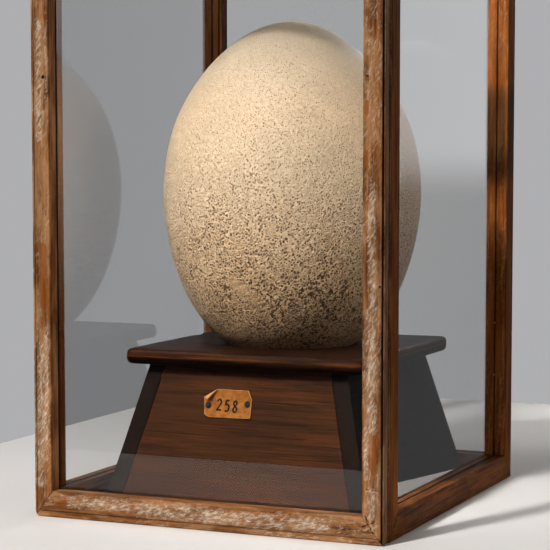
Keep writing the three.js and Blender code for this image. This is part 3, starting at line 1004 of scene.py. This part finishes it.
def tag(paper, dark_ink, steel):
    outline = [
        (-28.2, 85.5), (12.2, 86.1), (12.1, 102.3), (8.0, 109.8),
        (-21.3, 110.0), (-34.0, 102.5), (-32.5, 93.2), (-32.4, 88.2),
    ]
    centre = (-10.0, 97.5)
    border = []
    for (x0, z0), (x1, z1) in zip(outline, outline[1:] + outline[:1]):
        steps = max(int(math.hypot(x1 - x0, z1 - z0) / 1.5), 2)
        for k in range(steps):
            t = k / steps
            x = x0 + (x1 - x0) * t
            z = z0 + (z1 - z0) * t
            fray = 0.25 * noise.noise(Vector((x, z, 7.0)) * 0.8)
            border.append((x + fray, z + fray))
    scales = [1.0, 0.97, 0.85, 0.7, 0.5, 0.3, 0.1]
    points, edge = [], []
    for side in (0.0, 0.45):
        for scale in scales:
            for x, z in border:
                px = centre[0] + (x - centre[0]) * scale
                pz = centre[1] + (z - centre[1]) * scale
                points.append(on_board(px, pz, tag_lift(px, pz) + side - 0.2))
                edge.append(1.0 if scale == 1.0 else 0.0)
    count = len(border)
    rings = len(scales)
    faces = []
    for side in (0, 1):
        base = side * rings * count
        for r in range(rings - 1):
            faces += band(base + r * count, base + (r + 1) * count, count)
        faces.append(tuple(base + (rings - 1) * count + k for k in range(count)))
    faces += band(0, rings * count, count)
    marks = {"arris": edge}
    make_piece("tag_paper_sheet", points, faces, paper, ["tag_paper"], marks, smooth=True)
    tag_flap(paper)
    tag_digits(dark_ink)
    for side, (x, z) in (("left", (-29.1, 95.8)), ("right", (8.4, 98.2))):
        tack(side, x, z, steel)


def tag_flap(paper):
    """The folded corner: a small triangle that curls forward from the fold."""
    left = Vector((-33.8, 102.5))
    top = Vector((-21.3, 110.0))
    tip = Vector((-28.6, 99.8))
    steps = 9
    points, edge, faces = [], [], []
    index = {}
    for side in (0.0, 0.35):
        for i in range(steps + 1):
            for j in range(steps + 1 - i):
                a, b = i / steps, j / steps
                flat = left * (1 - a - b) + top * b + tip * a
                lift = tag_lift(flat.x, flat.y) + 0.5 + 4.2 * math.sin(a * 1.9) * (0.55 + 0.45 * a)
                index[side, i, j] = len(points)
                points.append(on_board(flat.x, flat.y, lift + side))
                # Every flap point is marked 0.75 on arris, which pales the paper: the paper's paler back, and
                # painted light where the flap turns to the lamp
                edge.append(0.75)
    for side in (0.0, 0.35):
        for i in range(steps):
            for j in range(steps - i):
                faces.append((index[side, i, j], index[side, i + 1, j], index[side, i, j + 1]))
                if i + j < steps - 1:
                    faces.append((index[side, i + 1, j], index[side, i + 1, j + 1], index[side, i, j + 1]))
    rim = [(i, 0) for i in range(steps)] + [(steps - j, j) for j in range(steps)]
    rim += [(0, j) for j in range(steps, 0, -1)]
    for k, (i, j) in enumerate(rim):
        a, b = rim[(k + 1) % len(rim)]
        faces.append((index[0.0, i, j], index[0.0, a, b], index[0.35, a, b], index[0.35, i, j]))
    make_piece("tag_paper_flap", points, faces, paper, [], {"arris": edge}, smooth=True)


# Pen strokes of three plain digits, each in a box 1 wide and 1 high
STROKES = {
    "2": [[(0.1, 0.78), (0.25, 0.96), (0.55, 1.0), (0.82, 0.86), (0.78, 0.62),
           (0.45, 0.33), (0.1, 0.04), (0.5, 0.07), (0.92, 0.03)]],
    "5": [[(0.85, 0.98), (0.3, 0.97)],
          [(0.3, 0.97), (0.2, 0.58), (0.5, 0.64), (0.82, 0.5), (0.84, 0.22), (0.55, 0.02), (0.12, 0.08)]],
    "8": [[(0.5, 0.55), (0.2, 0.75), (0.35, 0.97), (0.65, 0.97), (0.8, 0.75), (0.5, 0.55),
           (0.15, 0.28), (0.35, 0.02), (0.68, 0.03), (0.85, 0.28), (0.5, 0.55)]],
}


def smooth_line(knots, per_span=7):
    """A smooth line through knots."""
    padded = [knots[0], *knots, knots[-1]]
    line = []
    for a, b, c, d in zip(padded, padded[1:], padded[2:], padded[3:]):
        a, b, c, d = (Vector(p) for p in (a, b, c, d))
        for k in range(per_span):
            t = k / per_span
            square = (2 * a - 5 * b + 4 * c - d) * t ** 2
            cube = (3 * b - a - 3 * c + d) * t ** 3
            line.append(0.5 * (2 * b + (c - a) * t + square + cube))
    line.append(Vector(knots[-1]))
    return line


def tag_digits(dark_ink):
    left, bottom, width, height, pitch = -21.0, 91.6, 4.9, 9.6, 7.6
    points, faces = [], []
    for number, digit in enumerate("258"):
        for knots in STROKES[digit]:
            x = left + number * pitch
            z = bottom - 0.4 * number
            line = [Vector((x + p.x * width, z + p.y * height)) for p in smooth_line(knots)]
            for k, here in enumerate(line):
                along = (line[min(k + 1, len(line) - 1)] - line[max(k - 1, 0)]).normalized()
                across = Vector((-along.y, along.x))
                pen = 0.60 + 0.30 * abs(along.dot(Vector((0.5, -0.86))))
                for sign in (-1, 1):
                    p = here + across * pen * sign
                    points.append(on_board(p.x, p.y, tag_lift(p.x, p.y) + 0.45 - 0.2 + 0.06))
            first = len(points) - 2 * len(line)
            for at in range(first, len(points) - 2, 2):
                faces.append((at, at + 1, at + 3, at + 2))
    make_piece("tag_digits", points, faces, dark_ink, [])


def tack(side, x, z, steel):
    """A domed, slightly dented tack head."""
    profile = [(1.0, 0.05), (1.03, 0.2), (0.97, 0.42), (0.82, 0.66), (0.6, 0.86), (0.3, 0.98)]
    radius, height, sides = 2.9, 1.5, 28
    stand_off = tag_lift(x, z) + 0.15
    points, faces = [on_board(x, z, stand_off)], []
    for share, up in profile:
        for k in range(sides):
            angle = 2 * math.pi * k / sides
            dent = 1 + 0.05 * noise.noise(Vector((math.cos(angle), math.sin(angle), x + up)) * 1.5)
            reach = radius * share * dent
            px = x + reach * math.cos(angle)
            pz = z + reach * math.sin(angle)
            points.append(on_board(px, pz, stand_off + height * up))
    points.append(on_board(x, z, stand_off + height))
    last = len(points) - 1
    top_ring = last - sides
    for k in range(sides):
        following = (k + 1) % sides
        faces.append((0, 1 + k, 1 + following))
        faces.append((last, top_ring + k, top_ring + following))
    for r in range(len(profile) - 1):
        faces += band(1 + r * sides, 1 + (r + 1) * sides, sides)
    make_piece(f"tack_{side}_head", points, faces, steel, [f"tack_{side}"], smooth=True)


def glazing_pins(brass):
    """Two small pins that hold the right pane against the back stile."""
    for number, z in enumerate((153.0, 102.5)):
        x, y = 149.9, 157.4
        points, faces = [], []
        sides = 10
        for height, radius in ((0.0, 0.9), (1.6, 1.0), (2.1, 0.6)):
            for k in range(sides):
                angle = 2 * math.pi * k / sides
                across = x + 1.6 + radius * math.cos(angle) * 0.8
                points.append((across, y - height, z + radius * math.sin(angle)))
        for r in range(2):
            faces += band(r * sides, (r + 1) * sides, sides)
        faces.append(tuple(range(sides)))
        faces.append(tuple(2 * sides + k for k in range(sides)))
        make_piece(f"glazing_pin_{number + 1}", points, faces, brass, [], smooth=True)


# Stage, light and camera

def pale_floor():
    m = Material("pale_floor")
    mottle = m.noise(3.0, 3.0, 0.5)
    m.specular(0.2)
    color = m.mix(m.ramp(mottle, 0.3, 0.7), (0.83, 0.80, 0.785), (0.86, 0.835, 0.82))
    material = m.finish(color, 0.6)
    mesh = bpy.data.meshes.new("pale_floor")
    left, near_right, far_right, near, far = -0.406, 0.392, 0.065, -0.485, 0.70
    corners = [(left, near, 0), (near_right, near, 0), (far_right, far, 0), (left, far, 0)]
    mesh.from_pydata(corners, [], [(0, 1, 2, 3)])
    mesh.materials.append(material)
    floor = bpy.data.objects.new("pale_floor", mesh)
    bpy.context.scene.collection.objects.link(floor)


def studio_world():
    """A pale backdrop for the eye, dimmer where it shows through the left pane. As light it is bright behind
    the case and dim before it, and what is mirrored also has a dark gap low behind the right."""
    world = bpy.data.worlds.new("studio")
    bpy.context.scene.world = world
    world.use_nodes = True
    n = Nodes(world.node_tree)
    right, back, up = n.split(n.node("ShaderNodeTexCoord").outputs["Generated"])
    low = n.ramp(up, 0.25, 0.8, 1.0, 0.15)
    fill = n.times(n.ramp(back, -0.25, 0.35, FRONT_FILL, BACK_FILL), low)
    gap = n.times(n.ramp(right, 0.0, 0.15), n.ramp(right, 0.46, 0.36))
    gap = n.times(gap, n.ramp(up, 0.0, -0.03))
    mirrored = n.times(n.ramp(back, -0.25, 0.35, FRONT_FILL, BACK_MIRRORED), low)
    mirrored = n.times(mirrored, n.minus(1.0, n.times(gap, 0.85)))
    path = n.node("ShaderNodeLightPath").outputs
    light = n.between(n.math("MINIMUM", path["Glossy Depth"], 1.0), fill, mirrored)
    bounces = n.plus(path["Glossy Depth"], path["Diffuse Depth"])
    through_glass = n.math("MINIMUM", path["Transmission Depth"], 1.0)
    behind_left = n.times(n.ramp(right, -0.425, -0.437), through_glass)
    seen = n.ramp(behind_left, 0.0, 1.0, BACKDROP, BACKDROP * (1 - LEFT_DIMMED))
    strength = n.between(n.math("MINIMUM", bounces, 1.0), seen, light)
    background = n.tree.nodes["Background"]
    background.inputs["Color"].default_value = (1.0, 1.0, 1.02, 1.0)
    n.put(background.inputs["Strength"], strength)


def soft_light(name, place, target, size, power, color=(1.0, 1.0, 1.0)):
    light = bpy.data.lights.new(name, "AREA")
    light.shape = "RECTANGLE"
    light.size, light.size_y = size
    light.energy = power
    light.color = color
    lamp = bpy.data.objects.new(name, light)
    lamp.location = place
    lamp.rotation_euler = (Vector(target) - Vector(place)).to_track_quat("-Z", "Y").to_euler()
    bpy.context.scene.collection.objects.link(lamp)


def lights():
    azimuth = math.radians(KEY_AZIMUTH)
    elevation = math.radians(KEY_ELEVATION)
    level = math.cos(elevation)
    away = Vector((-math.sin(azimuth) * level, -math.cos(azimuth) * level, math.sin(elevation)))
    target = Vector((0.0, 0.0, 0.25))
    soft_light("key", target + KEY_DISTANCE * away, target, (0.17, 0.17), KEY_POWER, (1.0, 0.985, 0.96))
    soft_light("fill", (1.6, -1.0, 0.9), target, (1.2, 1.2), 3.8, (1.0, 0.86, 0.70))
    soft_light("rim", (0.25, 2.0, 1.25), (0.0, 0.0, 0.35), (0.7, 0.35), 9.0)


def camera():
    data = bpy.data.cameras.new("camera")
    data.sensor_width = 36.0
    data.lens = 36.0 * CAMERA_LENS
    data.shift_y = CAMERA_SHIFT
    view = bpy.data.objects.new("camera", data)
    view.location = CAMERA_PLACE
    view.rotation_euler = (math.radians(90 - CAMERA_DOWN), 0.0, math.radians(CAMERA_YAW))
    bpy.context.scene.collection.objects.link(view)
    bpy.context.scene.camera = view


def front_spot(x, z, radius):
    return lambda m: m.near((x, -HALF_DEPTH, z), radius)


def front_line(x0, z0, x1, z1, radius, fray=0.3):
    return lambda m: m.near_line((x0, -HALF_DEPTH, z0), (x1, -HALF_DEPTH, z1), radius, fray=fray)


def side_line(y0, z0, y1, z1, radius, fray=0.3):
    return lambda m: m.near_line((HALF_WIDTH, y0, z0), (HALF_WIDTH, y1, z1), radius, fray=fray)


def front_marks():
    """Nail holes, a knot, chips and the split corner of the front frame."""
    return [
        front_spot(-144.4, 13.3, 0.9), front_spot(-150.5, 382.3, 2.0), front_spot(158.6, 210.9, 1.2),
        front_spot(147.6, 379.0, 1.0), front_line(146.8, 24.0, 149.3, 17.0, 0.7, 0.9),
        front_line(144.5, 15.0, 149.0, 17.5, 0.7, 0.9), front_line(151.5, 18.0, 154.5, 20.0, 0.6, 0.9),
        front_line(150.8, 14.5, 154.0, 9.5, 0.7, 0.9), front_line(158.0, 6.0, 161.0, 2.0, 0.6),
        front_line(147.5, 46.0, 157.5, 44.8, 0.4, 0.7),
    ]


def front_chips():
    """Pale splinters at the split corner, and the rim of the varnish above it."""
    return [
        front_line(149.5, 23.0, 152.5, 15.5, 1.2, 0.8), front_line(145.5, 12.0, 150.0, 14.0, 1.1, 0.8),
        front_line(151.8, 12.5, 156.5, 16.5, 1.2, 0.8), front_line(148.0, 44.5, 157.0, 43.5, 0.7, 0.8),
        front_line(149.0, 46.0, 151.0, 62.0, 0.6, 0.8), front_line(157.0, 47.0, 157.5, 60.0, 0.6, 0.8),
    ]


def front_wear():
    return front_marks(), front_chips(), bleached_zones(), varnished_zones()


def shadow_zones():
    """Painted shadow on the two back posts: all up the back-left post, and between 306 and 366 mm on the far
    right one.
    """
    return [
        lambda m: m.near_line((-150.0, 170.0, 150.0), (-150.0, 170.0, 600.0), 34.0),
        lambda m: m.near_line((150.0, 170.0, 306.0), (150.0, 170.0, 366.0), 26.0, 0.6),
    ]


def side_marks():
    """Nail hole and splits at the near corner of the right side."""
    return [
        lambda m: m.near((HALF_WIDTH, -161.5, 13.6), 0.9), side_line(-147.0, 22.0, -158.0, 5.0, 0.4),
        side_line(-151.5, 19.5, -148.0, 12.5, 0.5), side_line(-150.0, 16.0, -153.5, 11.0, 0.5),
    ]


def bleached_zones():
    """Where the front frame is rubbed pale."""
    return [
        front_line(-157.5, 30.0, -154.0, 150.0, 5.5, 1.5), front_line(-151.0, 60.0, -149.5, 165.0, 3.0, 1.2),
        front_line(-155.0, 330.0, -155.0, 430.0, 4.0, 1.2), front_line(152.0, 95.0, 151.0, 190.0, 6.0, 1.5),
        front_line(151.0, 250.0, 152.0, 292.0, 3.6, 1.5), front_line(147.0, 55.0, 147.0, 95.0, 3.0, 1.0),
        front_line(-128.0, 14.0, -70.0, 15.0, 6.0, 2.0), front_line(-60.0, 13.0, 110.0, 13.0, 7.5, 2.0),
        front_line(152.0, 190.0, 151.0, 270.0, 4.5, 1.5), front_line(151.5, 24.0, 152.0, 44.0, 4.5, 1.0),
    ]


def varnished_zones():
    """Where the front frame keeps its orange varnish."""
    return [
        front_line(153.5, 60.0, 155.0, 88.0, 3.4, 0.9), front_line(146.0, 350.0, 146.5, 358.0, 3.0, 0.8),
        front_line(146.0, 308.0, 146.0, 318.0, 3.0, 0.8), front_line(-152.0, 186.0, -152.0, 236.0, 5.0, 1.2),
        front_line(-138.0, 12.0, -133.0, 13.0, 4.0, 0.8),
    ]


def build():
    camera()
    woods = {
        "front_z": case_wood("case_wood_front_upright", 2, 1.0, *front_wear()),
        "front_x": case_wood("case_wood_front_level", 0, 1.0, *front_wear()),
        # The side and back woods are darker copies of the front wood; their shade tint is painted shade
        "side_z": case_wood("case_wood_side_upright", 2, 0.25, side_marks(), shadowed=shadow_zones(),
                            shade=(0.92, 0.72, 0.50)),
        "side_y": case_wood("case_wood_side_level", 1, 0.35, side_marks(), shade=(0.66, 0.55, 0.38)),
        "side_x": case_wood("case_wood_back_level", 0, 0.3, shade=(0.60, 0.52, 0.44)),
    }
    front_frame(woods)
    side_frame("left", woods)
    side_frame("right", woods)
    back_frame(woods)
    case_floor(floor_wood())
    panes()
    slab(stand_wood("stand_wood_slab", 0, red=0.28, tone=0.36, edged=True))
    side_boards = stand_wood("stand_wood_side", 1, red=0.1, gray=0.7, tone=0.5)
    plinth(stand_wood("stand_wood_front", 0, red=0.75), side_boards)
    egg(eggshell())
    tag(tag_paper(), ink(), tack_steel())
    glazing_pins(brass_pin())
    pale_floor()
    studio_world()
    lights()
    bpy.context.scene.view_settings.view_transform = "Standard"


build()
